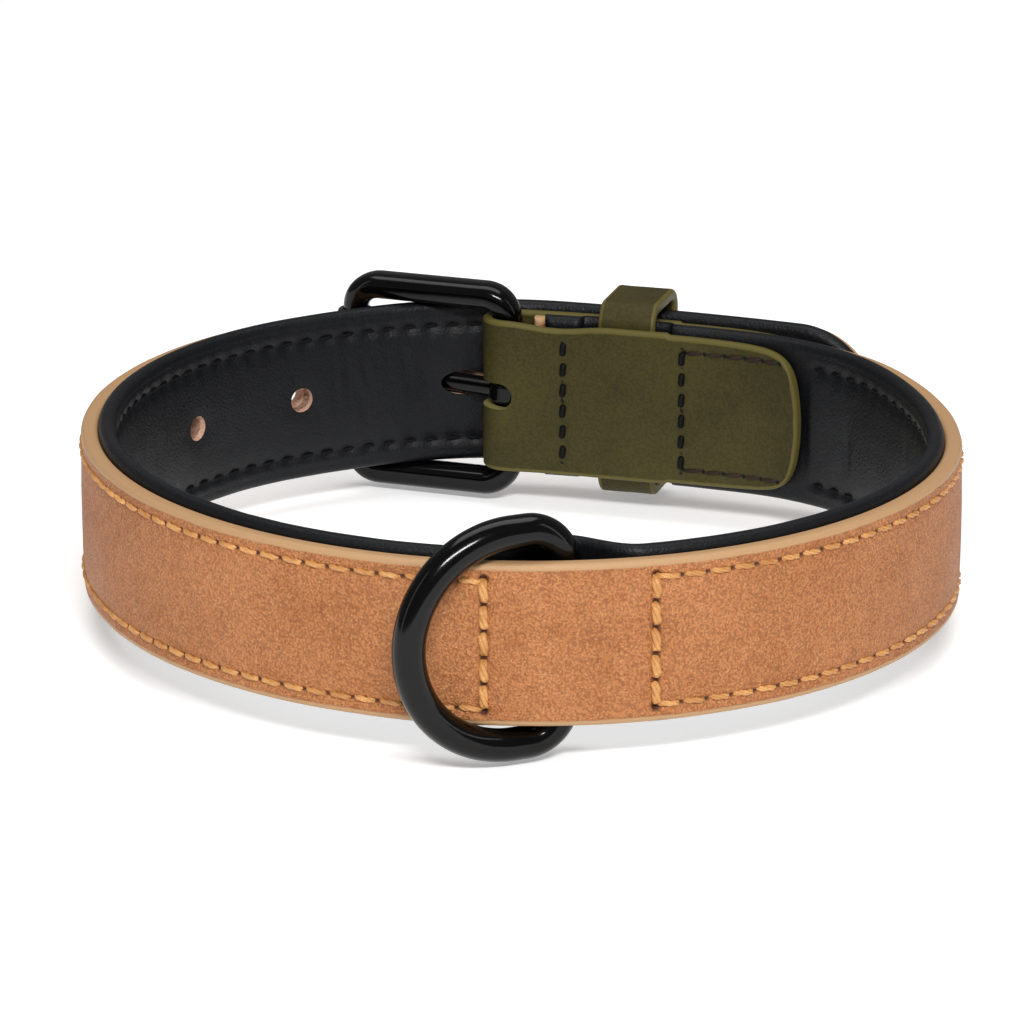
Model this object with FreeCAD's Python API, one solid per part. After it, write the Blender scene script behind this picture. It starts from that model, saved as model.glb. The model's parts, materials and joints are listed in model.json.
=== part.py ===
import FreeCAD, Part
import math
import os
from FreeCAD import Placement, Rotation, Vector

# A padded leather dog collar, buckled and standing on edge.  Millimetres and degrees.
# X runs across the collar, Y from the lead ring (-Y) to the buckle (+Y), Z up.  The floor is Z = 0.
# Every leather layer follows one strap line, the seam between the outer strap and the lining.
# The line starts under the buckle and runs clockwise seen from above: right side, front, left side,
# through the buckle, and over its own start to the tip.  "Outward" is to the left of that walk.

os.makedirs("parts", exist_ok=True)

START = (-5.60, 63.50)
START_HEADING = -10.3
STRAP_ARCS = [           # (length, turn to the right)
    (46.0, 11.2),        # flat stretch under the buckle's leather
    (31.01, 43.61),      # rear right bend
    (34.07, 24.23),      # right side
    (32.21, 29.59),      # right front
    (96.0, 82.68),       # front
    (94.91, 75.25),      # left side
    (34.59, 29.55),      # left rear
    (22.0, 21.9),        # turning toward the buckle
    (14.0, 6.1),         # into the buckle
    (36.0, 40.3),        # over the buckle's fold
    (38.0, 7.5),         # tail, lying along the flat stretch
    (18.0, 4.5),         # tip
]

MIDDLE = 19.55           # height of the strap's middle line above the floor
STRAP_WIDTH = 26.0
STRAP_THICK = 2.8
STRAP_ROUND = 0.9        # rounding of the strap's edges
LINING_WIDTH = 28.5      # the rolled edges stand proud of the strap
LINING_THICK = 2.8
LINING_SKIN = 0.9        # lining leather over the foam
FOAM_WIDTH = 19.0
FOAM_GAP = 0.05
STRAP_BEGIN = 8.1        # distances along the strap line
LINING_BEGIN = 10.5

HOLE_R = 2.1
HOLE_PITCH = 25.0
FIRST_HOLE = 366.0
HOLE_COUNT = 5
PRONG_HOLE = 2           # the prong is through the third hole

RING_WIRE_R = 2.6
RING_HEIGHT = 33.9       # centre line, floor to top
RING_REACH = 25.5        # centre line, bar to bow
RING_CORNER_R = 6.2
RING_AT = 209.5
RING_BAR_DEPTH = 3.15    # the bar's centre, inward of the strap line
RING_REST_ANGLE = 19.5   # between the ring and the strap, lying to the left
TUNNEL_DEPTH = 6.4       # how far the lining stands off to make room for the bar
TUNNEL_TOP_R = 5.0
TUNNEL_RAMP_R = 8.0
RIGHT_ROW = 196.2        # rows of stitches across the strap on each side of the ring
LEFT_ROW = 221.6

HEEL_AT = 4.0            # the buckle's heel bar
FRAME_WIRE_R = 2.15
FRAME_REACH = 28.0       # heel bar to far bar, centre line
FRAME_HEIGHT = 33.2      # centre line
FRAME_CORNER_R = 4.5
FRAME_ANGLE = 19.1       # the frame's slope to the X axis
RUNNING_FIT = 0.08
ROLLER_R = 3.2
ROLLER_LENGTH = 24.0
ROLLER_ROUND = 0.6
PRONG_THICK = 2.2
PRONG_WIDTH = 3.4
PRONG_EYE_R = 3.5
PRONG_GAP = 0.3          # prong to roller
PRONG_HOOK = 30.0        # how far the tip curls round the roller
PRONG_ROUND = 0.75       # rounding of the shank's long edges
PRONG_TIP_ROUND = 1.0
PRONG_EYE_ROUND = 0.5
PLAY = 2.5               # the frame's and the prong's swing while buckled, each
PRONG_SWINGS = (0.5, 2.5, 4.5)   # the punch for the prong's hole is struck along these swings

CHAPE_THICK = 1.8
CHAPE_WIDTH = 26.6
CHAPE_END = 59.0
CHAPE_NOSE_R = 26.0
SLOT_HEIGHT = 4.6
SLOT_REACH = 6.5         # its length along the strap
SLOT_END = 1.2           # its end past the heel bar, toward the strap
EYE_ROOM = 0.25          # round the prong's eye, inside the fold

KEEPER_AT = 25.0
KEEPER_LENGTH = 10.0
KEEPER_THICK = 2.0
KEEPER_SKIVED = 1.2      # the run under the chape is pared thin
KEEPER_INNER_FACE = 1.35 # its thin run's outward face, inward of the strap line
KEEPER_REACH = 11.6      # its far run's inward face, outward of the strap line
KEEPER_OPENING = 30.0
KEEPER_CORNER_R = 3.0
KEEPER_SKIVED_R = 1.1    # the pared run's corners
CHANNEL_SKIN = 1.0       # lining left under the keeper
CHANNEL_LENGTH = 17.0

SEAM_INSET = 2.8         # from the strap's edge to the line of stitches
CHAPE_SEAM_INSET = 2.9
STITCH_PITCH = 4.0
STITCH_LENGTH = 3.1
THREAD_R = 0.38
ROW_THREAD_R = 0.62      # heavier thread across the strap beside the ring
THREAD_SINK = 0.5        # the part of a thread's radius pulled below the leather
CHAPE_ROWS = (14.3, 35.6)
CHAPE_SEAM_END = 54.5    # the chape's edge seams run to here from the rear row
ROW_MARGIN = 0.4         # how far a row across the leather runs past the long seams
CHAPE_ROW_MARGIN = 0.6
FOAM_MARGIN = 2.0        # from a row of stitches, or the chape's seams, to the foam

CLEAR = 1.0              # how far cutting shapes reach past what they cut
PUNCH_REACH = 7.0        # half the length of a punch
PRONG_PUNCH_BEGIN = 7.5  # the prong's punch starts this far from the heel bar
PRONG_PUNCH_LENGTH = 17.0


def rad(angle):
    return math.radians(angle)


class Run:
    """One arc of a line: where it starts, its heading in degrees, its length and its right turn."""

    def __init__(self, x, y, heading, length, turn, at=0.0):
        self.x, self.y, self.heading, self.length, self.turn, self.at = x, y, heading, length, turn, at

    def point(self, along, off=0.0):
        """The point a distance along the run, set off outward."""
        here = self.heading - self.turn * along / self.length
        x, y = self.x, self.y
        if abs(self.turn) < 1e-9:
            x += along * math.cos(rad(here))
            y += along * math.sin(rad(here))
        else:
            r = self.length / rad(self.turn)
            x += r * (math.sin(rad(self.heading)) - math.sin(rad(here)))
            y -= r * (math.cos(rad(self.heading)) - math.cos(rad(here)))
        return Vector(x - off * math.sin(rad(here)), y + off * math.cos(rad(here)), 0)

    def end_heading(self):
        return self.heading - self.turn

    def part(self, low, high):
        """The stretch between two distances along the run."""
        here = self.point(low)
        turned = self.turn / self.length
        return Run(here.x, here.y, self.heading - turned * low, high - low, turned * (high - low),
                   self.at + low)

    def edge(self, off):
        a, b = self.point(0, off), self.point(self.length, off)
        if abs(self.turn) < 1e-6:
            return Part.LineSegment(a, b).toShape()
        return Part.Arc(a, self.point(self.length / 2, off), b).toShape()


def chain(x, y, heading, arcs, at=0.0):
    runs = []
    for length, turn in arcs:
        runs.append(Run(x, y, heading, length, turn, at))
        end = runs[-1].point(length)
        x, y, heading, at = end.x, end.y, runs[-1].end_heading(), at + length
    return runs


STRAP_LINE = chain(START[0], START[1], START_HEADING, STRAP_ARCS)
LINING_END = sum(length for length, turn in STRAP_ARCS)
STRAP_END = LINING_END - (LINING_WIDTH - STRAP_WIDTH) / 2


def stretch(low, high, runs=None):
    """The runs of the strap line between two distances."""
    kept = []
    for run in runs or STRAP_LINE:
        a, b = max(low, run.at), min(high, run.at + run.length)
        if b - a > 1e-6:
            kept.append(run.part(a - run.at, b - run.at))
    return kept


def seat(at):
    """A placement on the strap line: X along it, Y outward, Z up, at the strap's middle height."""
    run = [r for r in STRAP_LINE if r.at <= at + 1e-9][-1]
    here = run.point(at - run.at)
    turn = run.heading - run.turn * (at - run.at) / run.length
    return Placement(Vector(here.x, here.y, MIDDLE), Rotation(Vector(0, 0, 1), turn))


def laid(shape, at):
    shape.Placement = seat(at).multiply(shape.Placement)
    return shape


def ribbon(runs, low, high, width):
    """A leather layer standing on edge along the runs, between two distances outward."""
    out = [run.edge(high) for run in runs]
    back = [run.edge(low) for run in runs]
    ends = [Part.LineSegment(runs[0].point(0, low), runs[0].point(0, high)).toShape(),
            Part.LineSegment(runs[-1].point(runs[-1].length, low),
                             runs[-1].point(runs[-1].length, high)).toShape()]
    wire = Part.Wire(Part.__sortEdges__(out + back + ends))
    solid = Part.Face(wire).extrude(Vector(0, 0, width))
    solid.translate(Vector(0, 0, MIDDLE - width / 2))
    return solid


def softened(solid, radius):
    """The solid with its long top and bottom edges rounded."""
    flat = [e for e in solid.Edges if e.BoundBox.ZLength < 1e-6 and e.Length > 5 * radius]
    return solid.makeFillet(radius, flat)


def nose_cutter(at, width, radius, reach):
    """What is cut off to leave a strap's end round.  It reaches as far inward as outward."""
    block = Part.makeBox(radius + CLEAR, 2 * reach, width + 2 * CLEAR,
                         Vector(-radius, -reach, -width / 2 - CLEAR))
    disc = Part.makeCylinder(radius, 2 * (reach + CLEAR), Vector(-radius, -reach - CLEAR, 0),
                             Vector(0, 1, 0))
    return laid(block.cut(disc), at)


def tunnel(mid):
    """Three arcs that take the lining inward round the ring's bar and back, and their half span."""
    base = [r for r in STRAP_LINE if r.at <= mid][-1]
    base_r = base.length / rad(base.turn)
    to_ramp = base_r - TUNNEL_RAMP_R
    to_top = base_r - TUNNEL_DEPTH + TUNNEL_TOP_R
    apart = TUNNEL_RAMP_R + TUNNEL_TOP_R
    half = math.acos((to_ramp ** 2 + to_top ** 2 - apart ** 2) / (2 * to_ramp * to_top))
    corner = math.acos((to_ramp ** 2 + apart ** 2 - to_top ** 2) / (2 * to_ramp * apart))
    ramp = math.pi - corner
    span = base_r * half
    first = stretch(mid - span, mid)[0]
    arcs = [(TUNNEL_RAMP_R * ramp, math.degrees(ramp)),
            (TUNNEL_TOP_R * 2 * (ramp - half), -math.degrees(2 * (ramp - half))),
            (TUNNEL_RAMP_R * ramp, math.degrees(ramp))]
    return chain(first.x, first.y, first.heading, arcs), span


def rod(edges, radius):
    """A round bar bent along lines and arcs."""
    pieces = []
    for edge in edges:
        start, end = edge.Vertexes[0].Point, edge.Vertexes[-1].Point
        tangent = edge.tangentAt(edge.FirstParameter)
        disc = Part.Face(Part.Wire(Part.makeCircle(radius, edge.valueAt(edge.FirstParameter), tangent)))
        if isinstance(edge.Curve, Part.Line):
            pieces.append(disc.extrude(edge.valueAt(edge.LastParameter) - edge.valueAt(edge.FirstParameter)))
        else:
            sweep = math.degrees(edge.LastParameter - edge.FirstParameter)
            pieces.append(disc.revolve(edge.Curve.Center, edge.Curve.Axis, sweep))
    return pieces[0].multiFuse(pieces[1:]).removeSplitter()


def arc_about(x, z, radius, start, end):
    """An arc in the XZ plane about a centre, from one angle to another, anticlockwise."""
    def at(angle):
        return Vector(x + radius * math.cos(rad(angle)), 0, z + radius * math.sin(rad(angle)))
    return Part.Arc(at(start), at((start + end) / 2), at(end)).toShape()


def line(x0, z0, x1, z1):
    return Part.LineSegment(Vector(x0, 0, z0), Vector(x1, 0, z1)).toShape()


def ring_wire():
    """A D: a straight bar at X = 0, two small corners, and a half-round bow towards +X."""
    half, r = RING_HEIGHT / 2, RING_CORNER_R
    bow = RING_REACH - half
    edges = [line(0, half - r, 0, r - half), arc_about(r, r - half, r, 180, 270),
             line(r, -half, bow, -half), arc_about(bow, 0, half, -90, 90),
             line(bow, half, r, half), arc_about(r, half - r, r, 90, 180)]
    return rod(edges, RING_WIRE_R)


def frame_wire():
    """A rounded rectangle: heel bar at X = 0, far bar at X = FRAME_REACH."""
    half, r, far = FRAME_HEIGHT / 2, FRAME_CORNER_R, FRAME_REACH
    edges = [line(0, half - r, 0, r - half), arc_about(r, r - half, r, 180, 270),
             line(r, -half, far - r, -half), arc_about(far - r, r - half, r, 270, 360),
             line(far, r - half, far, half - r), arc_about(far - r, half - r, r, 0, 90),
             line(far - r, half, r, half), arc_about(r, half - r, r, 90, 180)]
    return rod(edges, FRAME_WIRE_R)


def turned(shape, centre, angle):
    """The shape moved to a centre and turned about the vertical."""
    shape.Placement = Placement(centre, Rotation(Vector(0, 0, 1), angle))
    return shape


def one(shape):
    """The single solid of a shape."""
    assert len(shape.Solids) == 1, len(shape.Solids)
    return shape.Solids[0]


# Where the buckle's bars and the ring's bar stand

heel = seat(HEEL_AT).Base
frame_heading = 180.0 - FRAME_ANGLE
far_bar = heel + Vector(math.cos(rad(frame_heading)), math.sin(rad(frame_heading)), 0) * FRAME_REACH
ring_seat = seat(RING_AT)
ring_bar = ring_seat.multVec(Vector(0, -RING_BAR_DEPTH, 0))
ring_heading = math.degrees(ring_seat.Rotation.Angle) * ring_seat.Rotation.Axis.z + RING_REST_ANGLE
prong_seat = ROLLER_R + PRONG_GAP + PRONG_THICK / 2
prong_lean = math.degrees(math.asin(prong_seat / FRAME_REACH))
prong_heading = frame_heading - prong_lean

hole_ats = [FIRST_HOLE + HOLE_PITCH * k for k in range(HOLE_COUNT)]


def hole_cutters():
    """Round punches square to the strap, and for the prong's hole a punch drawn along the prong."""
    punches = []
    for k, at in enumerate(hole_ats):
        if k != PRONG_HOLE:
            punch = Part.makeCylinder(HOLE_R, 2 * PUNCH_REACH, Vector(0, -PUNCH_REACH, 0), Vector(0, 1, 0))
            punches.append(laid(punch, at))
            continue
        for swing in PRONG_SWINGS:
            way = rad(prong_heading - swing)
            along = Vector(math.cos(way), math.sin(way), 0)
            start = heel + along * PRONG_PUNCH_BEGIN
            punches.append(Part.makeCylinder(HOLE_R, PRONG_PUNCH_LENGTH, start, along))
    return punches[0].multiFuse(punches[1:])


def pierced(solid):
    return one(solid.cut(hole_cutters()))


def outer_strap():
    body = ribbon(stretch(STRAP_BEGIN, STRAP_END), 0, STRAP_THICK, STRAP_WIDTH)
    body = softened(body, STRAP_ROUND)
    body = body.cut(nose_cutter(STRAP_END, STRAP_WIDTH, STRAP_WIDTH / 2, STRAP_THICK + CLEAR))
    return pierced(body)


PANEL_BEGIN = CHAPE_END + CLEAR          # the first panel's seams start past the chape
TAIL_SEAM_END = STRAP_END - STRAP_WIDTH / 2
bump, bump_span = tunnel(RING_AT)
FOAM_RUNS = {
    "right_foam_pad": (PANEL_BEGIN + FOAM_MARGIN, RIGHT_ROW - FOAM_MARGIN),
    "left_foam_pad": (LEFT_ROW + FOAM_MARGIN, TAIL_SEAM_END),
}


def lining():
    runs = stretch(LINING_BEGIN, RING_AT - bump_span) + bump + stretch(RING_AT + bump_span, LINING_END)
    body = ribbon(runs, -LINING_THICK, 0, LINING_WIDTH)
    body = body.cut(nose_cutter(LINING_END, LINING_WIDTH, LINING_WIDTH / 2, LINING_THICK + CLEAR))
    for low, high in FOAM_RUNS.values():
        room = ribbon(stretch(low, high), LINING_SKIN - LINING_THICK, 0, FOAM_WIDTH)
        body = body.cut(room)
    channel = stretch(KEEPER_AT - CHANNEL_LENGTH / 2, KEEPER_AT + CHANNEL_LENGTH / 2)
    body = body.cut(ribbon(channel, -LINING_THICK - CLEAR, -CHANNEL_SKIN, LINING_WIDTH + 2 * CLEAR))
    return pierced(body)


def foam_pad(low, high):
    inner = LINING_SKIN - LINING_THICK + FOAM_GAP
    pad = ribbon(stretch(low + FOAM_GAP, high - FOAM_GAP), inner, -FOAM_GAP, FOAM_WIDTH - 2 * FOAM_GAP)
    return pierced(pad)


def chape():
    """The leather that folds round the heel bar and holds both faces of the strap."""
    near, far = LINING_THICK, LINING_THICK + CHAPE_THICK
    runs = stretch(HEEL_AT, CHAPE_END)
    inner = ribbon(runs, -far, -near, CHAPE_WIDTH)
    outer = ribbon(runs, STRAP_THICK, STRAP_THICK + CHAPE_THICK, CHAPE_WIDTH)
    fold = Part.makeCylinder(far, CHAPE_WIDTH, Vector(0, 0, -CHAPE_WIDTH / 2))
    fold = fold.cut(Part.makeCylinder(near, CHAPE_WIDTH, Vector(0, 0, -CHAPE_WIDTH / 2)))
    fold = fold.cut(Part.makeBox(2 * far, 4 * far, CHAPE_WIDTH, Vector(0, -2 * far, -CHAPE_WIDTH / 2)))
    body = inner.multiFuse([outer, laid(fold, HEEL_AT)])
    body = body.cut(nose_cutter(CHAPE_END, CHAPE_WIDTH, CHAPE_NOSE_R, far + CLEAR))
    slot = Part.makeBox(SLOT_REACH, 2 * PUNCH_REACH, SLOT_HEIGHT,
                        Vector(SLOT_END - SLOT_REACH, -PUNCH_REACH, -SLOT_HEIGHT / 2))
    room = Part.makeCylinder(PRONG_EYE_R + EYE_ROOM, SLOT_HEIGHT, Vector(0, 0, -SLOT_HEIGHT / 2))
    return one(body.cut(laid(slot, HEEL_AT)).cut(laid(room, HEEL_AT)))


def keeper_loop():
    """A leather loop round strap and tail, its near run threaded between chape and lining."""
    low = -KEEPER_INNER_FACE - KEEPER_SKIVED
    high = KEEPER_REACH + KEEPER_THICK
    tall = KEEPER_OPENING + 2 * KEEPER_THICK
    start = Vector(-KEEPER_LENGTH / 2, low, -tall / 2)
    block = Part.makeBox(KEEPER_LENGTH, high - low, tall, start)
    for side, radius in ((high, KEEPER_CORNER_R), (low, KEEPER_SKIVED_R)):
        corners = [e for e in block.Edges
                   if e.BoundBox.XLength > KEEPER_LENGTH - 1e-6 and abs(e.CenterOfMass.y - side) < 1e-6
                   and abs(abs(e.CenterOfMass.z) - tall / 2) < 1e-6]
        block = block.makeFillet(radius, corners)
    room = Part.makeBox(KEEPER_LENGTH + 2 * CLEAR, KEEPER_REACH + KEEPER_INNER_FACE, KEEPER_OPENING,
                        Vector(-KEEPER_LENGTH / 2 - CLEAR, -KEEPER_INNER_FACE, -KEEPER_OPENING / 2))
    return one(laid(block.cut(room), KEEPER_AT))


def roller():
    tube = Part.makeCylinder(ROLLER_R, ROLLER_LENGTH, Vector(0, 0, -ROLLER_LENGTH / 2))
    tube = tube.makeFillet(ROLLER_ROUND, [e for e in tube.Edges if isinstance(e.Curve, Part.Circle)])
    bore = Part.makeCylinder(FRAME_WIRE_R + RUNNING_FIT, ROLLER_LENGTH, Vector(0, 0, -ROLLER_LENGTH / 2))
    return one(turned(tube.cut(bore), far_bar, frame_heading))


def prong():
    """An eye round the heel bar, a straight shank, and a tip curled over the roller."""
    straight = math.sqrt(FRAME_REACH ** 2 - prong_seat ** 2)
    shank = chain(heel.x, heel.y, prong_heading,
                  [(straight, 0.0), (prong_seat * rad(PRONG_HOOK), -PRONG_HOOK)])
    half = PRONG_THICK / 2
    bar = ribbon(shank, -half, half, PRONG_WIDTH)
    tip = shank[-1].point(shank[-1].length)
    bar = bar.makeFillet(PRONG_ROUND, [e for e in bar.Edges
                                       if e.BoundBox.ZLength < 1e-6 and e.Length > PRONG_THICK + 0.1])
    bar = bar.makeFillet(PRONG_TIP_ROUND, [e for e in bar.Edges if e.BoundBox.ZLength > PRONG_THICK / 2
                                           and (e.CenterOfMass - Vector(tip.x, tip.y, MIDDLE)).Length
                                           < PRONG_THICK * 0.7])
    eye = Part.makeCylinder(PRONG_EYE_R, PRONG_WIDTH, Vector(0, 0, -PRONG_WIDTH / 2))
    eye = eye.makeFillet(PRONG_EYE_ROUND, [e for e in eye.Edges if isinstance(e.Curve, Part.Circle)])
    bore = Part.makeCylinder(FRAME_WIRE_R + RUNNING_FIT, 2 * PRONG_WIDTH, Vector(0, 0, -PRONG_WIDTH))
    body = bar.fuse(turned(eye, heel, 0)).cut(turned(bore, heel, 0))
    return one(body)


def stitches(low, high, height, face, radius, pitch=STITCH_PITCH):
    """A seam along the strap: separate stitches at a height, sunk in a face of the leather."""
    face -= math.copysign(radius * THREAD_SINK, face)
    count = max(int(round((high - low) / pitch)), 1)
    step = (high - low) / count
    made = []
    for k in range(count):
        thread = Part.makeCylinder(radius, STITCH_LENGTH, Vector(-STITCH_LENGTH / 2, face, height),
                                   Vector(1, 0, 0))
        made.append(laid(thread, low + (k + 0.5) * step))
    return Part.makeCompound(made)


def cross_row(at, face, radius, reach):
    """A row of upright stitches across the strap."""
    face -= math.copysign(radius * THREAD_SINK, face)
    count = int(round(2 * reach / STITCH_PITCH))
    step = 2 * reach / count
    made = []
    for k in range(count):
        z = -reach + (k + 0.5) * step
        made.append(laid(Part.makeCylinder(radius, STITCH_LENGTH, Vector(0, face, z - STITCH_LENGTH / 2)), at))
    return Part.makeCompound(made)


SEAM_HEIGHT = STRAP_WIDTH / 2 - SEAM_INSET
CHAPE_SEAM_HEIGHT = CHAPE_WIDTH / 2 - CHAPE_SEAM_INSET
CHAPE_FACE = -LINING_THICK - CHAPE_THICK


def seams():
    """Every seam's stitches: gold on the strap, black on the lining, brown and black on the chape."""
    found = {}
    panels = {"right": (PANEL_BEGIN, RIGHT_ROW), "left": (LEFT_ROW, TAIL_SEAM_END)}
    for side, (low, high) in panels.items():
        for edge, sign in (("top", 1), ("bottom", -1)):
            height = sign * SEAM_HEIGHT
            found[side + "_strap_seam_" + edge] = stitches(low, high, height, STRAP_THICK, THREAD_R)
            found[side + "_lining_seam_" + edge] = stitches(low, high, height, -LINING_THICK, THREAD_R)
    for side, at in (("right", RIGHT_ROW), ("left", LEFT_ROW)):
        found[side + "_ring_seam"] = cross_row(at, STRAP_THICK, ROW_THREAD_R, SEAM_HEIGHT + ROW_MARGIN)
    for name, at in zip(("heel", "rear"), CHAPE_ROWS):
        found["chape_" + name + "_row"] = cross_row(at, CHAPE_FACE, THREAD_R,
                                                    CHAPE_SEAM_HEIGHT + CHAPE_ROW_MARGIN)
    for edge, sign in (("top", 1), ("bottom", -1)):
        found["chape_seam_" + edge] = stitches(CHAPE_ROWS[1] + ROW_MARGIN, CHAPE_SEAM_END,
                                               sign * CHAPE_SEAM_HEIGHT, CHAPE_FACE, THREAD_R)
    return found


NODES = {
    "outer_strap": outer_strap(),
    "lining": lining(),
    "chape": chape(),
    "keeper_loop": keeper_loop(),
    "d_ring": one(turned(ring_wire(), ring_bar, ring_heading)),
    "buckle_frame": one(turned(frame_wire(), heel, frame_heading)),
    "buckle_roller": roller(),
    "buckle_prong": prong(),
}
for pad_name, (pad_low, pad_high) in FOAM_RUNS.items():
    NODES[pad_name] = foam_pad(pad_low, pad_high)
NODES.update(seams())

for name, shape in NODES.items():
    assert shape.isValid(), name
    shape.exportStep("parts/" + name + ".step")

box = FreeCAD.BoundBox()
for shape in NODES.values():
    box.add(shape.optimalBoundingBox(False))
print("box", [round(v, 3) for v in (box.XMin, box.XMax, box.YMin, box.YMax, box.ZMin, box.ZMax)])
print("centre", round(box.Center.x, 3), round(box.Center.y, 3), "nodes", len(NODES))
print("ring bar", ring_bar, "heel bar", heel, "far bar", far_bar)
print("keeper", seat(KEEPER_AT))
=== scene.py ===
import json
import math

import bmesh
import bpy
import numpy as np
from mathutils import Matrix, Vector


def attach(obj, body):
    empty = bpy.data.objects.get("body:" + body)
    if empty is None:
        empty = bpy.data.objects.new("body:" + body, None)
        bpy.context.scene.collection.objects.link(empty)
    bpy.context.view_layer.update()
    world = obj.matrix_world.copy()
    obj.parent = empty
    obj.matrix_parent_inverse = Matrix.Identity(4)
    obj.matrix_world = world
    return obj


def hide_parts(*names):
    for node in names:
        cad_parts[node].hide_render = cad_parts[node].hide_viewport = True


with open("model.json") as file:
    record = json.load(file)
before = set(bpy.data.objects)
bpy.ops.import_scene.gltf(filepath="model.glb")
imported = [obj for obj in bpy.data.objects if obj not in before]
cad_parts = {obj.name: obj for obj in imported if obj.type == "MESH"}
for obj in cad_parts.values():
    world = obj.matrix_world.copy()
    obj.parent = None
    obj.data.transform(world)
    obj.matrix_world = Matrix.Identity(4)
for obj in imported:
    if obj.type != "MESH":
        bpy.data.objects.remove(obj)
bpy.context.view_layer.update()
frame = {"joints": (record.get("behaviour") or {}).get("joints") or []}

# A padded leather dog collar, buckled and standing on edge.
# Sizes are in millimetres and angles in degrees, as a saddler would write them; the last step of every
# mesh turns them to metres.  The leathers follow one strap line, the seam between the outer strap and the
# lining, which starts under the buckle and runs clockwise seen from above.  "off" is the distance
# outward of that line, "z" the height above the strap's middle.

MM = 0.001

# The strap line: where it starts and its heading, then each arc's length and its turn to the right.
START = (-5.60, 63.50)
START_HEADING = -10.3
STRAP_ARCS = [(46.0, 11.2), (31.01, 43.61), (34.07, 24.23), (32.21, 29.59), (96.0, 82.68), (94.91, 75.25),
              (34.59, 29.55), (22.0, 21.9), (14.0, 6.1), (36.0, 40.3), (38.0, 7.5), (18.0, 4.5)]

# The strap: tan leather outward of the line, the padded lining inward of it, and foam inside the lining.
MIDDLE = 19.55                # the strap's middle above the floor
STRAP_WIDTH = 26.0
STRAP_THICK = 2.8
STRAP_BEGIN = 8.1
LINING_WIDTH = 28.5
LINING_THICK = 2.8
LINING_BEGIN = 10.5
FOAM_WIDTH = 18.8
HOLE_R = 2.1
HOLE_ATS = [366.0, 391.0, 416.0, 441.0, 466.0]
PRONG_HOLE = 2                # which of them the prong is through

# The lead ring, a D of round wire in a tunnel between two rows of stitches.
RING_AT = 209.5
RING_WIRE_R = 2.6
RING_HEIGHT = 33.9            # between the centres of the wire
RING_REACH = 25.5             # from the bar's centre to the bow's
RING_CORNER_R = 6.2
RING_RISE = 0.35              # the ring hangs a little above the strap's middle
RING_REST_ANGLE = 19.5
TUNNEL_DEPTH = 6.4
TUNNEL_REACH = 12.6
RIGHT_ROW = 196.2
LEFT_ROW = 221.6

# The buckle: a wire frame, a roller on its far bar and a prong on its heel bar.
HEEL_AT = 4.0
FRAME_WIRE_R = 2.15
FRAME_REACH = 28.0            # between the two bars
FRAME_HEIGHT = 33.2
FRAME_CORNER_R = 4.5
FRAME_ANGLE = 19.1
ROLLER_R = 3.2
ROLLER_LENGTH = 24.0
RUNNING_FIT = 0.08
PRONG_THICK = 2.2
PRONG_WIDTH = 3.4
PRONG_EYE_R = 3.5
PRONG_GAP = 0.3
PRONG_HOOK = 30.0

# The olive chape, folded round the heel bar, and the keeper loop.
CHAPE_THICK = 1.8
CHAPE_WIDTH = 26.6
CHAPE_END = 59.0
CHAPE_NOSE_R = 26.0
CHAPE_ROWS = (14.3, 35.6)
CHAPE_SEAM_END = 54.5
SLOT_HEIGHT = 4.6
SLOT_LEFT = 5.5
SLOT_RIGHT = 1.2
KEEPER_AT = 25.0
KEEPER_LENGTH = 10.0
KEEPER_THICK = 2.0
KEEPER_SKIVED = 1.2
KEEPER_INNER_FACE = 1.35
KEEPER_REACH = 11.6
KEEPER_OPENING = 30.0

SEAM_INSET = 2.8
SEAM_HEIGHT = STRAP_WIDTH / 2 - SEAM_INSET
STITCH_PITCH = 4.0


# ---------------------------------------------------------------- the strap line

def knots(x, y, heading, arcs):
    """Where each arc of a line starts: distance, x, y, heading and turn per millimetre, in radians."""
    rows, s, h = [], 0.0, math.radians(heading)
    for length, turn in arcs:
        k = -math.radians(turn) / length
        rows.append((s, x, y, h, k))
        end = h + k * length
        x += (math.sin(end) - math.sin(h)) / k
        y -= (math.cos(end) - math.cos(h)) / k
        s, h = s + length, end
    return np.array(rows), s


KNOTS, LINING_END = knots(START[0], START[1], START_HEADING, STRAP_ARCS)
STRAP_END = LINING_END - (LINING_WIDTH - STRAP_WIDTH) / 2
TIP_CENTRE = STRAP_END - STRAP_WIDTH / 2


def on_line(s):
    """x, y and heading of the strap line at distances s."""
    s = np.asarray(s, float)
    row = KNOTS[np.clip(np.searchsorted(KNOTS[:, 0], s, side="right") - 1, 0, len(KNOTS) - 1)]
    h0, k = row[..., 3], row[..., 4]
    h = h0 + k * (s - row[..., 0])
    return (row[..., 1] + (np.sin(h) - np.sin(h0)) / k, row[..., 2] - (np.cos(h) - np.cos(h0)) / k, h)


def along_strap(s, off, z):
    """Points at distances s along the strap line, off outward of it and z above its middle, in metres."""
    x, y, h = on_line(s)
    s, off, z, x, y, h = np.broadcast_arrays(s, off, z, x, y, h)
    return np.stack([x - off * np.sin(h), y + off * np.cos(h), z + MIDDLE], axis=-1) * MM


def seat(s):
    """The middle of the strap line at s in millimetres, with its heading in radians."""
    x, y, h = on_line(s)
    return Vector((float(x), float(y), MIDDLE)), float(h)


def smooth_step(x, low, high):
    """0 up to low, 1 from high on, and a smooth climb between."""
    t = np.clip((x - low) / (high - low), 0.0, 1.0)
    return t * t * (3.0 - 2.0 * t)


def dome(x, centre, reach):
    """1 at the centre, falling smoothly to 0 at reach to either side."""
    u = np.clip(np.abs(x - centre) / reach, 0.0, 1.0)
    return 0.5 * (1.0 + np.cos(math.pi * u))


RIPPLE_WAVES = (46.0, 27.0, 15.0, 9.0)


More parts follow.
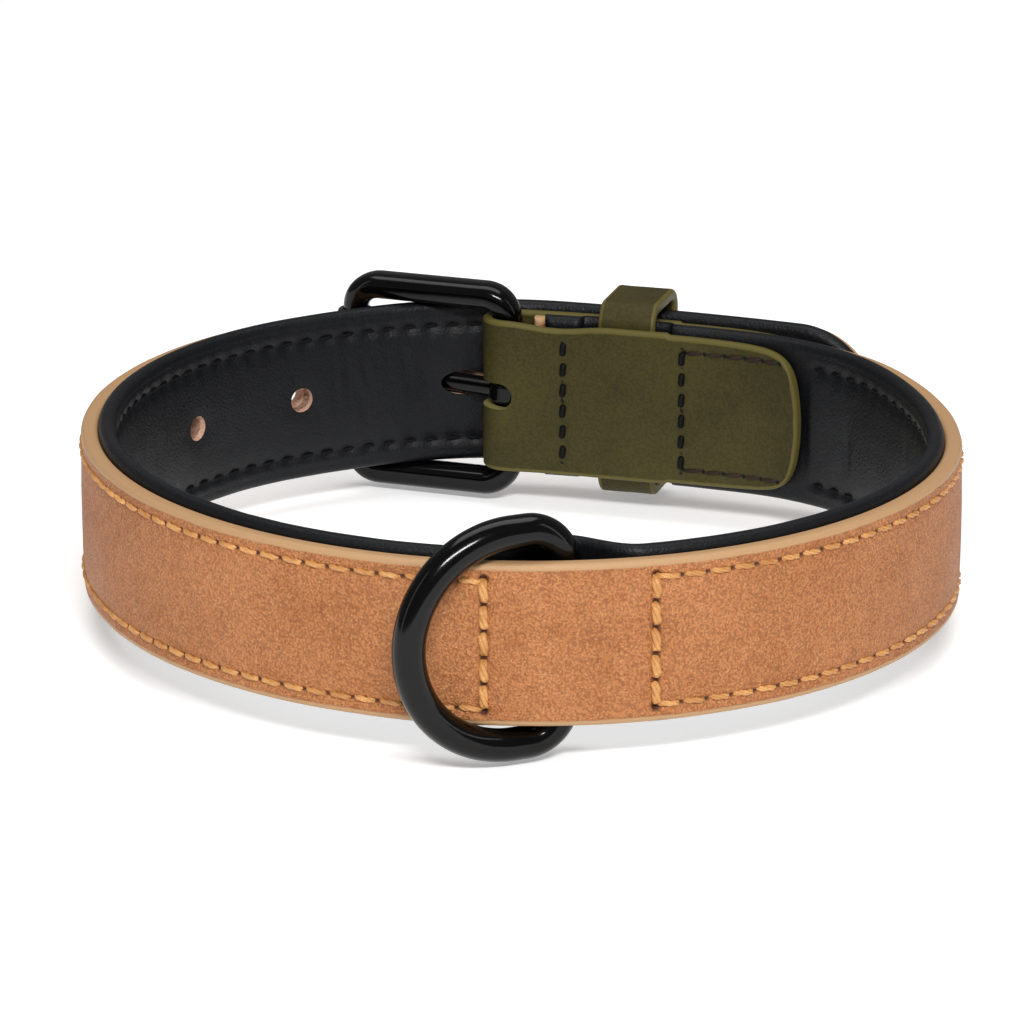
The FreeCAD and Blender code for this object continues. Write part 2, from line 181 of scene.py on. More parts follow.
def ripple(s, z, seed):
    """Slow unevenness of a leather surface, about -1 to 1, from a few fixed waves."""
    rng = np.random.default_rng(seed)
    total = np.zeros(np.broadcast(s, z).shape)
    for wave in RIPPLE_WAVES:
        a, b, c = rng.uniform(0, 2 * math.pi, 3)
        tilt = rng.uniform(-0.5, 0.5)
        bend = 0.8 * np.sin(z / 5.0 + b)
        weight = math.sqrt(wave / RIPPLE_WAVES[0])
        total = total + np.sin(2 * math.pi * (s + tilt * z) / wave + a + bend) * weight
        total = total + 0.3 * np.sin(2 * math.pi * z / (wave * 0.6) + c)
    return total / 3.0


# ---------------------------------------------------------------- making meshes

def piece(name, verts, faces, finish, smooth=True):
    """A mesh object in the scene, its faces turned outward."""
    mesh = bpy.data.meshes.new(name)
    mesh.from_pydata(verts, [], faces)
    bm = bmesh.new()
    bm.from_mesh(mesh)
    bmesh.ops.recalc_face_normals(bm, faces=bm.faces)
    bm.to_mesh(mesh)
    bm.free()
    mesh.polygons.foreach_set("use_smooth", [smooth] * len(mesh.polygons))
    obj = bpy.data.objects.new(name, mesh)
    bpy.context.scene.collection.objects.link(obj)
    mesh.materials.append(finish)
    return obj


def skin(grid, loop=False):
    """Vertices and faces of a closed surface through rings of points, end to end if loop, else capped."""
    rings, sides = grid.shape[:2]
    verts = [tuple(v) for v in grid.reshape(-1, 3)]
    index = np.arange(rings * sides).reshape(rings, sides)
    here = index if loop else index[:-1]
    there = np.roll(index, -1, axis=0) if loop else index[1:]
    quads = np.stack([here, np.roll(here, -1, axis=1), np.roll(there, -1, axis=1), there], axis=-1)
    faces = [tuple(q) for q in quads.reshape(-1, 4).tolist()]
    if not loop:
        for ring in (index[0], index[-1]):
            verts.append(tuple(grid.reshape(-1, 3)[ring].mean(axis=0)))
            faces += [(int(a), int(b), len(verts) - 1) for a, b in zip(ring, np.roll(ring, -1))]
    return verts, faces


def mark(obj, name, values):
    """Stores a number on each vertex, for the leather finishes to read."""
    count = len(obj.data.vertices)
    padded = np.zeros(count)
    padded[:min(count, values.size)] = values.ravel()[:count]
    layer = obj.data.attributes.new(name, "FLOAT", "POINT")
    layer.data.foreach_set("value", padded)


EDGE_STEPS = np.array([0.0, 0.05, 0.14, 0.28, 0.46, 0.7, 1.0])    # of the edge's radius, close at the rim
END_STEPS = np.array([0.02, 0.08, 0.2, 0.36, 0.56, 0.8, 1.1, 1.45, 1.85, 2.3, 2.8])
EVEN_FROM, EVEN_TO = 3.3, 3.0      # the even stations' distances from the two ends
LENGTH_STEP = 0.5
HEIGHT_STEP = 0.28
FINE_BELOW_SEAM = 1.6              # levels are close together from the edge to this far inside the seams
MIDDLE_LEVELS = 21
BACK_EVERY = 8                     # the plain side keeps one level in this many
LEAST_WALL = 0.02
SHARP_ANGLE = 38


class Layer:
    """A flat strip of leather laid out as a grid: its outline, its edges' rounding and its relief.

    Only the side that shows, "outer" or "inner", carries relief; the other has fewer levels."""

    def __init__(self, low, high, inner, outer, width, edge_r, side, noses=(None, None), corner=None):
        self.inner, self.outer, self.half, self.edge_r = inner, outer, width / 2, edge_r
        self.low, self.high, self.side, self.noses, self.corner = low, high, side, noses, corner
        self.s = self.stations()[:, None]
        rim, between = self.levels()
        self.rise = np.concatenate([rim, between, -rim[::-1]])[None, :] / self.half
        ends = len(rim)
        far_rim = ends + len(between)
        self.plain = np.r_[0:ends, ends:far_rim:BACK_EVERY, far_rim:far_rim + ends]
        self.height = self.half_height()
        self.z = self.rise * self.height
        self.edge = self.edge_distance()
        self.pit = np.zeros(self.z.shape)
        self.relief = np.zeros(self.z.shape)

    def stations(self):
        """Distances along the strip: close together at its ends."""
        even = np.arange(self.low + EVEN_FROM, self.high - EVEN_TO, LENGTH_STEP)
        return np.concatenate([self.low + END_STEPS, even, (self.high - END_STEPS)[::-1]])

    def levels(self):
        """Heights from the bottom edge up: close together on the rim and along the seams."""
        rim = EDGE_STEPS * self.edge_r - self.half
        seam = SEAM_HEIGHT - FINE_BELOW_SEAM
        fine = np.arange(rim[-1] + HEIGHT_STEP, -seam, HEIGHT_STEP)
        return rim, np.concatenate([fine, np.linspace(-seam, seam, MIDDLE_LEVELS), -fine[::-1]])

    def half_height(self):
        """Half the strip's height at each station: less toward a rounded nose."""
        height = np.full(self.s.shape, self.half)
        for nose, x in zip(self.noses, (self.s - self.low, self.high - self.s)):
            if nose:
                near = np.sqrt(np.maximum(2 * nose * x - x ** 2, 1e-6))
                arc = np.where(x < nose, np.minimum(height, near), height)
                if self.corner:
                    arc = np.where(x < nose, (height ** -self.corner + near ** -self.corner)
                                   ** (-1 / self.corner), height)
                height = arc
        return height

    def edge_distance(self):
        """How far each point is from the strip's outline."""
        edge = self.height - np.abs(self.z)
        for nose, x in zip(self.noses, (self.s - self.low, self.high - self.s)):
            if nose:
                near = nose - np.sqrt((nose - x) ** 2 + self.z ** 2)
                edge = np.where(x < nose, np.minimum(edge, near), edge)
            else:
                edge = np.minimum(edge, x)
        return np.maximum(edge, 0.0)

    def rounding(self):
        """How far the rounded edge falls below the flat face."""
        short = self.edge_r - np.minimum(self.edge, self.edge_r)
        return self.edge_r - np.sqrt(self.edge_r ** 2 - short ** 2)

    def press(self, depth):
        """Presses the side that shows into the leather, by a depth for each point; less than 0 swells it."""
        self.relief += (-1.0 if self.side == "outer" else 1.0) * depth

    def needle_marks(self, marks, depth, reach=0.55):
        """Dimples where the thread goes in."""
        for s, z in marks:
            rows = np.abs(self.s[:, 0] - s) < 3 * reach
            far = (self.s[rows] - s) ** 2 + (self.z[rows] - z) ** 2
            dent = np.exp(-far / reach ** 2)
            self.relief[rows] += (-1.0 if self.side == "outer" else 1.0) * depth * dent
            # the pit mask is where the leather finish paints shade into the dimples
            self.pit[rows] = np.maximum(self.pit[rows], dent)

    def build(self, name, finish, place=along_strap, shift=0.0):
        """The strip as a mesh.  shift moves it outward and may differ from point to point."""
        out = self.outer + shift + (self.relief if self.side == "outer" else 0.0)
        inn = self.inner + shift + (self.relief if self.side == "inner" else 0.0)
        fall = np.minimum(self.rounding(), (out - inn) / 2 - LEAST_WALL)
        out, inn = out - fall, inn + fall
        cols = {True: np.arange(self.z.shape[1]), False: self.plain}
        front, back = cols[self.side == "outer"], cols[self.side == "inner"][::-1]
        grid = np.concatenate([place(self.s, out[:, front], self.z[:, front]),
                               place(self.s, inn[:, back], self.z[:, back])], axis=1)
        obj = piece(name, *skin(grid), finish)
        for what, values in (("edge", self.edge), ("pit", self.pit)):
            mark(obj, what, np.concatenate([values[:, front], values[:, back]], axis=1))
        return obj


def carved(obj, other, how):
    """Cuts another closed shape out of a piece, or joins it on.  A cut's walls keep the cutter's finish."""
    step = obj.modifiers.new(how, "BOOLEAN")
    step.operation, step.solver, step.object = how, "EXACT", other
    step.material_mode = "TRANSFER"
    graph = bpy.context.evaluated_depsgraph_get()
    mesh = bpy.data.meshes.new_from_object(obj.evaluated_get(graph))
    obj.modifiers.clear()
    obj.data = mesh
    bpy.data.objects.remove(other)
    obj.data.set_sharp_from_angle(angle=math.radians(SHARP_ANGLE))


def tube(path, radius, closed, sides=40, flat=1.0, square=2.0):
    """Rings of points round a path of points in the XZ plane.  flat stretches the section along Y, and
    square, above 2, fills out its corners."""
    path = np.asarray(path, float)
    ahead = np.roll(path, -1, axis=0) - np.roll(path, 1, axis=0)
    if not closed:
        ahead[0], ahead[-1] = path[1] - path[0], path[-1] - path[-2]
    ahead /= np.linalg.norm(ahead, axis=1)[:, None]
    side = np.stack([-ahead[:, 2], np.zeros(len(path)), ahead[:, 0]], axis=1)
    turn = np.linspace(0, 2 * math.pi, sides, endpoint=False)
    radius, flat, square = (np.broadcast_to(v, len(path))[:, None] for v in (radius, flat, square))
    across, up = (np.sign(f(turn)) * np.abs(f(turn)) ** (2 / square) for f in (np.cos, np.sin))
    return path[:, None] + radius[..., None] * (across[..., None] * side[:, None]
                                                + (flat * up)[..., None] * np.array([0.0, 1.0, 0.0]))


def stood(grid, centre, heading):
    """Points made about the Z axis, turned to a heading and moved to a centre, in metres."""
    c, s = math.cos(heading), math.sin(heading)
    x, y, z = grid[..., 0], grid[..., 1], grid[..., 2]
    return np.stack([centre[0] + c * x - s * y, centre[1] + s * x + c * y, centre[2] + z], axis=-1) * MM


def rounded_path(corners, count=26, gap=0.8):
    """A closed XZ outline from (x, z, radius) corners joined by straight runs, as points: count to each
    corner, and gap apart on the runs."""
    points = []
    total = len(corners)
    for k, (x, z, r) in enumerate(corners):
        here = np.array([x, z])
        before = np.array(corners[k - 1][:2]) - here
        after = np.array(corners[(k + 1) % total][:2]) - here
        before, after = before / np.linalg.norm(before), after / np.linalg.norm(after)
        half = math.acos(np.clip(np.dot(before, after), -1, 1)) / 2
        centre = here + (before + after) / np.linalg.norm(before + after) * r / math.sin(half)
        start, end = here + before * r / math.tan(half), here + after * r / math.tan(half)
        a0 = math.atan2(*(start - centre)[::-1])
        sweep = (math.atan2(*(end - centre)[::-1]) - a0 + math.pi) % (2 * math.pi) - math.pi
        arc = a0 + sweep * np.linspace(0, 1, count)
        points.append(centre + r * np.stack([np.cos(arc), np.sin(arc)], axis=1))
    filled = []
    for k, run in enumerate(points):
        filled.append(run)
        start, end = run[-1], points[(k + 1) % total][0]
        steps = int(np.linalg.norm(end - start) / gap)
        if steps > 1:
            filled.append(start + (end - start) * np.linspace(0, 1, steps + 1)[1:-1, None])
    flat = np.concatenate(filled)
    keep = np.linalg.norm(flat - np.roll(flat, 1, axis=0), axis=1) > 1e-4
    flat = flat[keep]
    return np.stack([flat[:, 0], np.zeros(len(flat)), flat[:, 1]], axis=1)


# ---------------------------------------------------------------- finishes

def linear(hex_colour):
    """An sRGB hex colour as a linear one."""
    parts = [int(hex_colour[i:i + 2], 16) / 255 for i in (0, 2, 4)]
    return tuple(c / 12.92 if c <= 0.04045 else ((c + 0.055) / 1.055) ** 2.4 for c in parts) + (1.0,)


def per(size):
    """The texture scale that gives a pattern of a size in millimetres."""
    return 1.0 / (size * MM)


def node(tree, kind, inputs=None, out=0, **settings):
    """Adds a node, sets its properties, fills its inputs with values or links, and gives an output."""
    made = tree.nodes.new("ShaderNode" + kind)
    for key, value in settings.items():
        setattr(made, key, value)
    for key, value in (inputs or {}).items():
        if isinstance(value, bpy.types.NodeSocket):
            tree.links.new(value, made.inputs[key])
        else:
            made.inputs[key].default_value = value
    return made.outputs[out]


MIX_FACTOR, MIX_A, MIX_B, MIX_RESULT = 0, 6, 7, 2     # the colour sockets of a Mix node


def started(name):
    """A new material: itself, its node tree, its shader and the object coordinates."""
    made = bpy.data.materials.new(name)
    made.use_nodes = True
    tree = made.node_tree
    return made, tree, tree.nodes["Principled BSDF"], node(tree, "TexCoord", out="Object")


def blended(tree, factor, low, high):
    """A colour between two, each a hex colour or a link."""
    low, high = (linear(c) if isinstance(c, str) else c for c in (low, high))
    return node(tree, "Mix", {MIX_FACTOR: factor, MIX_A: low, MIX_B: high}, out=MIX_RESULT, data_type="RGBA")


def ranged(tree, value, low, high, to_low=0.0, to_high=1.0):
    """A number brought from one range to another, and kept in it."""
    return node(tree, "MapRange", {"Value": value, "From Min": low, "From Max": high,
                                   "To Min": to_low, "To Max": to_high})


def clouds(tree, where, size, detail=2.0, rough=0.5):
    """Soft noise whose patches are about a size in millimetres."""
    return node(tree, "TexNoise", {"Vector": where, "Scale": per(size), "Detail": detail, "Roughness": rough})


def stored(tree, name):
    """A number stored on the mesh, in millimetres or from 0 to 1."""
    return node(tree, "Attribute", out="Fac", attribute_name=name)


def raised(tree, height, depth, normal=None):
    """A bump of a real depth in millimetres."""
    inputs = {"Height": height, "Distance": depth * MM, "Strength": 1.0}
    if normal is not None:
        inputs["Normal"] = normal
    return node(tree, "Bump", inputs)


BLOTCH_SIZE = 16.0        # where the hide took the dye darker or lighter
MOTTLE_SIZE = 1.6         # the uneven finish over the grain
RAGGED_SIZE = 2.5         # the wander of the line where the edge's colour stops
HIDE_WAVE_SIZE = 6.0      # the hide's slow unevenness, felt rather than seen
HIDE_WAVE_DEPTH = 0.12


def leather(name, dark, mid, light, edge_colour, edge_band, painted_shade_colour, rough, grain, grain_depth,
            speckle, crease_depth, specular):
    """A leather finish: blotched colour, a pebbled grain with painted shade in its lows and a painted
    highlight on its tops, an edge of its own colour with a crease beside it, and needle holes darkened with
    painted shade.  grain is the pebbles' size and edge_band the edge's width, in millimetres; the pit colour
    is the painted shade's colour, and speckle sets how strong the grain's painted shade and highlight are."""
    made, tree, shader, where = started(name)
    blotch = ranged(tree, clouds(tree, where, BLOTCH_SIZE, 3.0, 0.55), 0.33, 0.67)
    mottle = ranged(tree, clouds(tree, where, MOTTLE_SIZE, 3.0, 0.65), 0.3, 0.7)
    colour = blended(tree, blotch, dark, mid)
    colour = blended(tree, node(tree, "Math", {0: mottle, 1: 0.22}, operation="MULTIPLY"), colour, light)
    # the grain: pebbles with low ground between them, painted shade darkening the low places and a painted
    # highlight lightening the pebble tops
    cells = node(tree, "TexVoronoi", {"Vector": where, "Scale": per(grain * 1.5)}, out="Distance")
    fine = clouds(tree, where, grain, 2.0, 0.55)
    ground = node(tree, "Math", {0: fine, 1: ranged(tree, cells, 0.1, 0.8, 0.16, -0.16)})
    colour = blended(tree, ranged(tree, ground, 0.52, 0.36, 0.0, speckle * 1.7), colour, painted_shade_colour)
    colour = blended(tree, ranged(tree, ground, 0.6, 0.76, 0.0, speckle * 1.5), colour, light)
    # the edge: its colour stops along a slightly ragged line, beside a creased groove
    edge = stored(tree, "edge")
    wander = ranged(tree, clouds(tree, where, RAGGED_SIZE), 0.3, 0.7, -0.06, 0.06)
    rim = ranged(tree, node(tree, "Math", {0: edge, 1: wander}), edge_band + 0.1, edge_band - 0.1)
    colour = blended(tree, rim, colour, edge_colour)
    beside = node(tree, "Math", {0: edge, 1: edge_band + 0.12, 2: 0.14}, operation="COMPARE")
    # painted shade: the needle holes' dimples are darkened toward the pit colour
    colour = blended(tree, ranged(tree, stored(tree, "pit"), 0.2, 0.6), colour, painted_shade_colour)
    worn_grain = node(tree, "Math", {0: ground, 1: ranged(tree, rim, 0.0, 1.0, 1.0, 0.25)},
                      operation="MULTIPLY")
    normal = raised(tree, worn_grain, grain_depth)
    normal = raised(tree, ranged(tree, beside, 0.0, 1.0, 1.0, 0.0), crease_depth, normal)
    normal = raised(tree, clouds(tree, where, HIDE_WAVE_SIZE, 2.0), HIDE_WAVE_DEPTH, normal)
    # the gloss: a little more where the hide is pale, and more again on the rubbed edge
    worn = ranged(tree, blotch, 0.0, 1.0, rough + 0.04, rough - 0.05)
    gloss = node(tree, "Math", {0: worn, 1: ranged(tree, rim, 0.0, 1.0, 0.0, -0.08)})
    tree.links.new(colour, shader.inputs["Base Color"])
    tree.links.new(gloss, shader.inputs["Roughness"])
    tree.links.new(normal, shader.inputs["Normal"])
    shader.inputs["Specular IOR Level"].default_value = specular
    return made


# Nubuck-finished cowhide, the grain sanded to a nap and the cut edges sealed and rubbed: a matt, fine
# pebbled tan with painted shade darkening its pores and needle holes and a painted highlight on its pebble
# tops, blotched where the hide is denser, inside a smooth paler rim.
tan_nubuck = leather("tan nubuck cowhide", dark="A2602F", mid="B3703F", light="DDA56E",
                     edge_colour="AE8860", edge_band=1.0, painted_shade_colour="4A2410", rough=0.6, grain=0.32,
                     grain_depth=0.3, speckle=0.24, crease_depth=0.08, specular=0.4)

# Soft-milled black cowhide, drum-dyed and lightly sealed: a cool black with a low shine that breaks up in a
# fine even grain wherever it turns to the light; the grain's lows carry painted shade and its tops a painted
# highlight.
black_lining_hide = leather("black milled lining leather", dark="06070A", mid="0A0B0F", light="12141A",
                            edge_colour="0D0E12", edge_band=0.0, painted_shade_colour="020203", rough=0.48,
                            grain=0.36, grain_depth=0.09, speckle=0.25, crease_depth=0.0, specular=0.24)

# Bridle leather stuffed with wax, dyed olive: the wax fills the grain, so it is smooth with faint clouds,
# and it is paler along its edges, partly the edge's own colour and partly a painted highlight on the rounded
# edge; its needle holes and faint grain lows carry painted shade.
olive_bridle = leather("waxed olive bridle leather", dark="322D12", mid="3E3816", light="48411D",
                       edge_colour="585026", edge_band=0.7, painted_shade_colour="070603", rough=0.6, grain=0.4,
                       grain_depth=0.02, speckle=0.12, crease_depth=0.0, specular=0.18)

# The same leather where a knife has cut through it: the dye has not gone deep, so it is paler and duller.
olive_edge = leather("olive leather cut edge", dark="5F5835", mid="6E663E", light="7C7347",
                     edge_colour="857A48", edge_band=0.1, painted_shade_colour="2A2614", rough=0.6, grain=0.4,
                     grain_depth=0.03, speckle=0.3, crease_depth=0.03, specular=0.35)


def raw_edge_leather():
    # The wall of a punched hole: vegetable-tanned hide that the dye never reached, so a pale pinkish tan
    # of short rough fibres, with no shine.
    made, tree, shader, where = started("raw punched leather")
    fibres = clouds(tree, where, 0.35, 3.0, 0.7)
    tree.links.new(blended(tree, ranged(tree, fibres, 0.3, 0.7), "A8765A", "E2C3AE"),
                   shader.inputs["Base Color"])
    tree.links.new(raised(tree, fibres, 0.08), shader.inputs["Normal"])
    shader.inputs["Roughness"].default_value = 0.85
    return made


def enamelled_zinc():
    # Die-cast zinc dipped in black enamel and baked: a deep black under a hard gloss, with the slow
    # waviness of a dipped coat in its reflections and fine polish marks that soften them a little.
    made, tree, shader, where = started("black enamelled zinc")
    flow = clouds(tree, where, 7.0, 1.0, 0.4)
    polish = clouds(tree, where, 0.6, 3.0, 0.6)
    tree.links.new(blended(tree, ranged(tree, flow, 0.3, 0.7), "020202", "050505"),
                   shader.inputs["Base Color"])
    tree.links.new(ranged(tree, polish, 0.3, 0.7, 0.1, 0.17), shader.inputs["Roughness"])
    tree.links.new(raised(tree, flow, 0.05), shader.inputs["Normal"])
    shader.inputs["Specular IOR Level"].default_value = 0.25
    return made


def waxed_thread(name, dark, light, rough, specular):
    # Bonded thread drawn through beeswax: fine fibres, darker where the wax lies thick, with a soft shine.
    made, tree, shader, where = started(name)
    fibre = clouds(tree, where, 0.18, 2.0, 0.6)
    patch = ranged(tree, clouds(tree, where, 5.0), 0.3, 0.7)
    mixed = node(tree, "Math", {0: ranged(tree, fibre, 0.25, 0.75), 1: patch, 2: 0.1},
                 operation="MULTIPLY_ADD")
    tree.links.new(blended(tree, ranged(tree, mixed, 0.0, 1.0), dark, light), shader.inputs["Base Color"])
    tree.links.new(raised(tree, fibre, 0.05), shader.inputs["Normal"])
    shader.inputs["Roughness"].default_value = rough
    shader.inputs["Specular IOR Level"].default_value = specular
    return made


def open_cell_foam():
    # Polyurethane foam sliced from a block: a matt grey skin full of half-millimetre cells.
    made, tree, shader, where = started("grey polyurethane foam")
    cells = node(tree, "TexVoronoi", {"Vector": where, "Scale": per(0.5)}, out="Distance")
    tree.links.new(blended(tree, ranged(tree, cells, 0.1, 0.7), "3C3D40", "77797C"),
                   shader.inputs["Base Color"])
    tree.links.new(raised(tree, cells, 0.2), shader.inputs["Normal"])
    shader.inputs["Roughness"].default_value = 0.95
    return made


raw_leather = raw_edge_leather()
black_enamel = enamelled_zinc()
gold_thread = waxed_thread("gold waxed thread", "A2672E", "E8B06C", rough=0.42, specular=0.5)
black_thread = waxed_thread("black waxed thread", "020202", "08090A", rough=0.6, specular=0.15)
brown_thread = waxed_thread("brown waxed thread", "1A120C", "3A2A20", rough=0.6, specular=0.2)
foam_grey = open_cell_foam()


# ---------------------------------------------------------------- where the metal stands

def joint_at(name):
    """A joint's place in millimetres."""
    place = next(j for j in frame["joints"] if j["name"] == name)["pos_m"]
    return np.array(place) / MM


ring_bar = joint_at("ring_swing")
heel_bar = joint_at("frame_rock")
far_bar = joint_at("roller_spin")
_, strap_heading = seat(RING_AT)
ring_heading = strap_heading + math.radians(RING_REST_ANGLE)
heel_seat, heel_heading = seat(HEEL_AT)
keeper_seat, keeper_heading = seat(KEEPER_AT)
frame_heading = math.radians(180.0 - FRAME_ANGLE)
prong_seat = ROLLER_R + PRONG_GAP + PRONG_THICK / 2
prong_heading = frame_heading - math.asin(prong_seat / FRAME_REACH)


# ---------------------------------------------------------------- seams

CHAPE_SEAM_HEIGHT = CHAPE_WIDTH / 2 - 2.9
CHAPE_FACE = -LINING_THICK - CHAPE_THICK
PANELS = {"right": (CHAPE_END + 1, RIGHT_ROW), "left": (LEFT_ROW, TIP_CENTRE)}


def spaced(low, high, pitch=STITCH_PITCH):
    """The needle holes of a seam."""
    return np.linspace(low, high, max(int(round((high - low) / pitch)), 1) + 1)


THREAD_STEPS = 15
THREAD_SIDES = 8
TWIST_LENGTH = 11.0       # radii of thread to one turn of its plies
PLY_SPREAD, PLY_R = 0.42, 0.62
END_DIP = 2.0             # radii that a stitch's ends go down into their holes
TURN_BETWEEN = 1.3        # radians, so that no two stitches show their plies alike
SLANT = 0.09              # each stitch climbs a little from hole to hole


def twisted(reach, radius, phase, plies):
    """Plies twisted together: distance along, sideways and height, as rings for each ply."""
    t = np.linspace(-1, 1, THREAD_STEPS)
    half = reach / 2
    dive = np.abs(t) ** 5
    spread, fill = (PLY_SPREAD, PLY_R) if plies > 1 else (0.0, 1.0)
    around = np.linspace(0, 2 * math.pi, THREAD_SIDES, endpoint=False)
    thick = fill * radius * (1 - 0.35 * dive)
    rings = []
    for ply in range(plies):
        turn = phase + 2 * math.pi * (ply / plies + t * half / (TWIST_LENGTH * radius))
        side, rise = spread * radius * np.sin(turn), spread * radius * np.cos(turn) - END_DIP * radius * dive
        rings.append(np.stack([np.broadcast_to((t * half)[:, None], (THREAD_STEPS, THREAD_SIDES)),
                               side[:, None] + thick[:, None] * np.sin(around),
                               rise[:, None] + thick[:, None] * np.cos(around)], axis=-1))
    return rings


def seam(name, finish, holes, place, radius, length, plies):
    """One seam's threads as one piece.  place turns (stitch, along, sideways, height) into a point."""
    verts, faces = [], []
    for k, stitch in enumerate((holes[:-1] + holes[1:]) / 2):
        for ply in twisted(length, radius, TURN_BETWEEN * k, plies):
            more, quads = skin(place(stitch, ply[..., 0], ply[..., 1], ply[..., 2]))
            faces += [tuple(i + len(verts) for i in face) for face in quads]
            verts += more
    return piece(name, verts, faces, finish)


def long_seam(name, finish, low, high, height, face, sign, radius, length, plies=3):
    """A seam along the strap, on the face whose distance off the strap line is given."""
    def place(s, along, sideways, rise):
        return along_strap(s + along, face(s + along) + sign * rise, height + sideways + SLANT * along)
    return seam(name, finish, spaced(low, high), place, radius, length, plies)


def cross_seam(name, finish, at, reach, face, sign, radius, length, plies=3):
    """A row of stitches straight up the strap."""
    def place(z, along, sideways, rise):
        return along_strap(at + sideways + SLANT * along, face(at) + sign * rise, z + along)
    return seam(name, finish, spaced(-reach, reach), place, radius, length, plies)


# ---------------------------------------------------------------- leather pieces

def near_line(z, height, reach):
    """1 on a seam's line, falling off to its sides."""
    return np.exp(-((z - height) / reach) ** 2)


def between(s, low, high, soft=1.5):
    """1 between two distances along the strap, 0 outside, with soft ends."""
    return smooth_step(s, low - soft, low + soft) * (1 - smooth_step(s, high - soft, high + soft))


PUNCH_LOW, PUNCH_HIGH = -6.0, 7.0      # how far off the strap line the punches reach
PRONG_PUNCH_SHIFT = 12.0               # the prong's own punch lies this far out along it
PRONG_PUNCH_SWINGS = (0.5, 4.5)        # the prong's hole is worn long: it clears the prong as it lifts


def prong_punch():
    """The punch for the hole that the prong is through, drawn along the prong."""
    rim = []
    for swing in PRONG_PUNCH_SWINGS:
        way = prong_heading - math.radians(swing)
        along = np.array([math.cos(way), math.sin(way), 0.0])
        side = np.array([-along[1], along[0], 0.0])
        for reach in (PUNCH_LOW + PRONG_PUNCH_SHIFT, PUNCH_HIGH + PRONG_PUNCH_SHIFT):
            for a in np.linspace(0, 2 * math.pi, 48)[:-1]:
                rim.append(heel_bar + along * reach + HOLE_R * (side * math.cos(a)
                                                                + np.array([0, 0, math.sin(a)])))
    bm = bmesh.new()
    for p in rim:
        bm.verts.new(p * MM)
    bmesh.ops.convex_hull(bm, input=bm.verts)
    bmesh.ops.delete(bm, geom=[v for v in bm.verts if not v.link_faces], context="VERTS")
    mesh = bpy.data.meshes.new("punch")
    bm.to_mesh(mesh)
    bm.free()
    mesh.materials.append(raw_leather)
    punch = bpy.data.objects.new("punch", mesh)
    bpy.context.scene.collection.objects.link(punch)
    return punch


def square_punch(at):
    """A round punch square to the strap."""
    turn = np.linspace(0, 2 * math.pi, 40, endpoint=False)
    _, heading = seat(at)
    ring = np.stack([np.cos(turn) * math.cos(heading), np.cos(turn) * math.sin(heading),
                     np.sin(turn)], axis=-1) * HOLE_R * MM
    ends = np.stack([along_strap(at, off, 0.0) + ring for off in (PUNCH_LOW, PUNCH_HIGH)])
    return piece("punch", *skin(ends), raw_leather)


def pierced(obj):
    for k, at in enumerate(HOLE_ATS):
        carved(obj, prong_punch() if k == PRONG_HOLE else square_punch(at), "DIFFERENCE")
    return obj


def press_holes(layer, depth, spread):
    """The leather dips round each punched hole; spread is in square millimetres."""
    for at in HOLE_ATS:
        layer.press(depth * np.exp(-((layer.s - at) ** 2 + layer.z ** 2) / spread))


def panel_bow(z):
    """1 in the middle of a sewn panel, 0 at its seams."""
    return np.cos(np.clip(z / SEAM_HEIGHT, -1, 1) * math.pi / 2)


TAN_EDGE_R = 0.9
TAN_SEAM_SINK, TAN_SEAM_REACH = 0.16, 0.75
TAN_DENT, TAN_DENT_REACH = 0.4, 0.42
TAN_SWELL = 0.14
ROW_SINK, ROW_REACH = 0.28, 1.1
ROW_DENT, ROW_DENT_REACH = 0.8, 0.75
ROW_OVERRUN = 0.4                        # a ring row runs this far past the seams it joins
GROOVE_DEPTH, GROOVE_LENGTH, GROOVE_REACH = 0.6, 9.0, 3.2


def make_outer_strap():
    layer = Layer(STRAP_BEGIN, STRAP_END, 0.0, STRAP_THICK, STRAP_WIDTH, TAN_EDGE_R, "outer",
                  noses=(None, STRAP_WIDTH / 2))
    for low, high in PANELS.values():
        sewn = between(layer.s, low, high, 0.6)
        for height in (SEAM_HEIGHT, -SEAM_HEIGHT):
            layer.press(TAN_SEAM_SINK * sewn * near_line(layer.z, height, TAN_SEAM_REACH))
            layer.needle_marks([(s, height) for s in spaced(low, high)], TAN_DENT, TAN_DENT_REACH)
        layer.press(-TAN_SWELL * sewn * panel_bow(layer.z))
    for at in (RIGHT_ROW, LEFT_ROW):
        held = between(layer.z, -SEAM_HEIGHT, SEAM_HEIGHT, 1.0)
        layer.press(ROW_SINK * held * near_line(layer.s, at, ROW_REACH))
        marks = spaced(-SEAM_HEIGHT - ROW_OVERRUN, SEAM_HEIGHT + ROW_OVERRUN)
        layer.needle_marks([(at, z) for z in marks], ROW_DENT, ROW_DENT_REACH)
    press_holes(layer, 0.25, 9.0)
    layer.press(0.07 * ripple(layer.s, layer.z, 11))
    # the prong lies in a groove it has pressed beside its hole
    at = HOLE_ATS[PRONG_HOLE]
    layer.press(GROOVE_DEPTH * between(layer.s, at - GROOVE_LENGTH, at + 1.0)
                * near_line(layer.z, 0.0, GROOVE_REACH))
    return pierced(layer.build("tan_strap", tan_nubuck))


LINING_EDGE_R = 1.35
GATHER_SINK, GATHER_SWING = 0.5, 0.24     # the seam's channel, and how much less it sinks at each hole
PUFF, PUFF_REACH = 0.1, 2.4               # the padding puffs up between one hole and the next
PADDING_SWELL = 0.5
RIM_SWELL, RIM_REACH = 0.18, 2.2
KEEPER_PRESS = 1.8                        # the keeper and the chape squeeze the padding here
PINCH_LIFT, PINCH_REACH = 0.5, 16.0


def lining_swell(s):
    """How far the lining stands inward of the strap line, to go round the ring's bar."""
    return -TUNNEL_DEPTH * dome(s, RING_AT, TUNNEL_REACH)


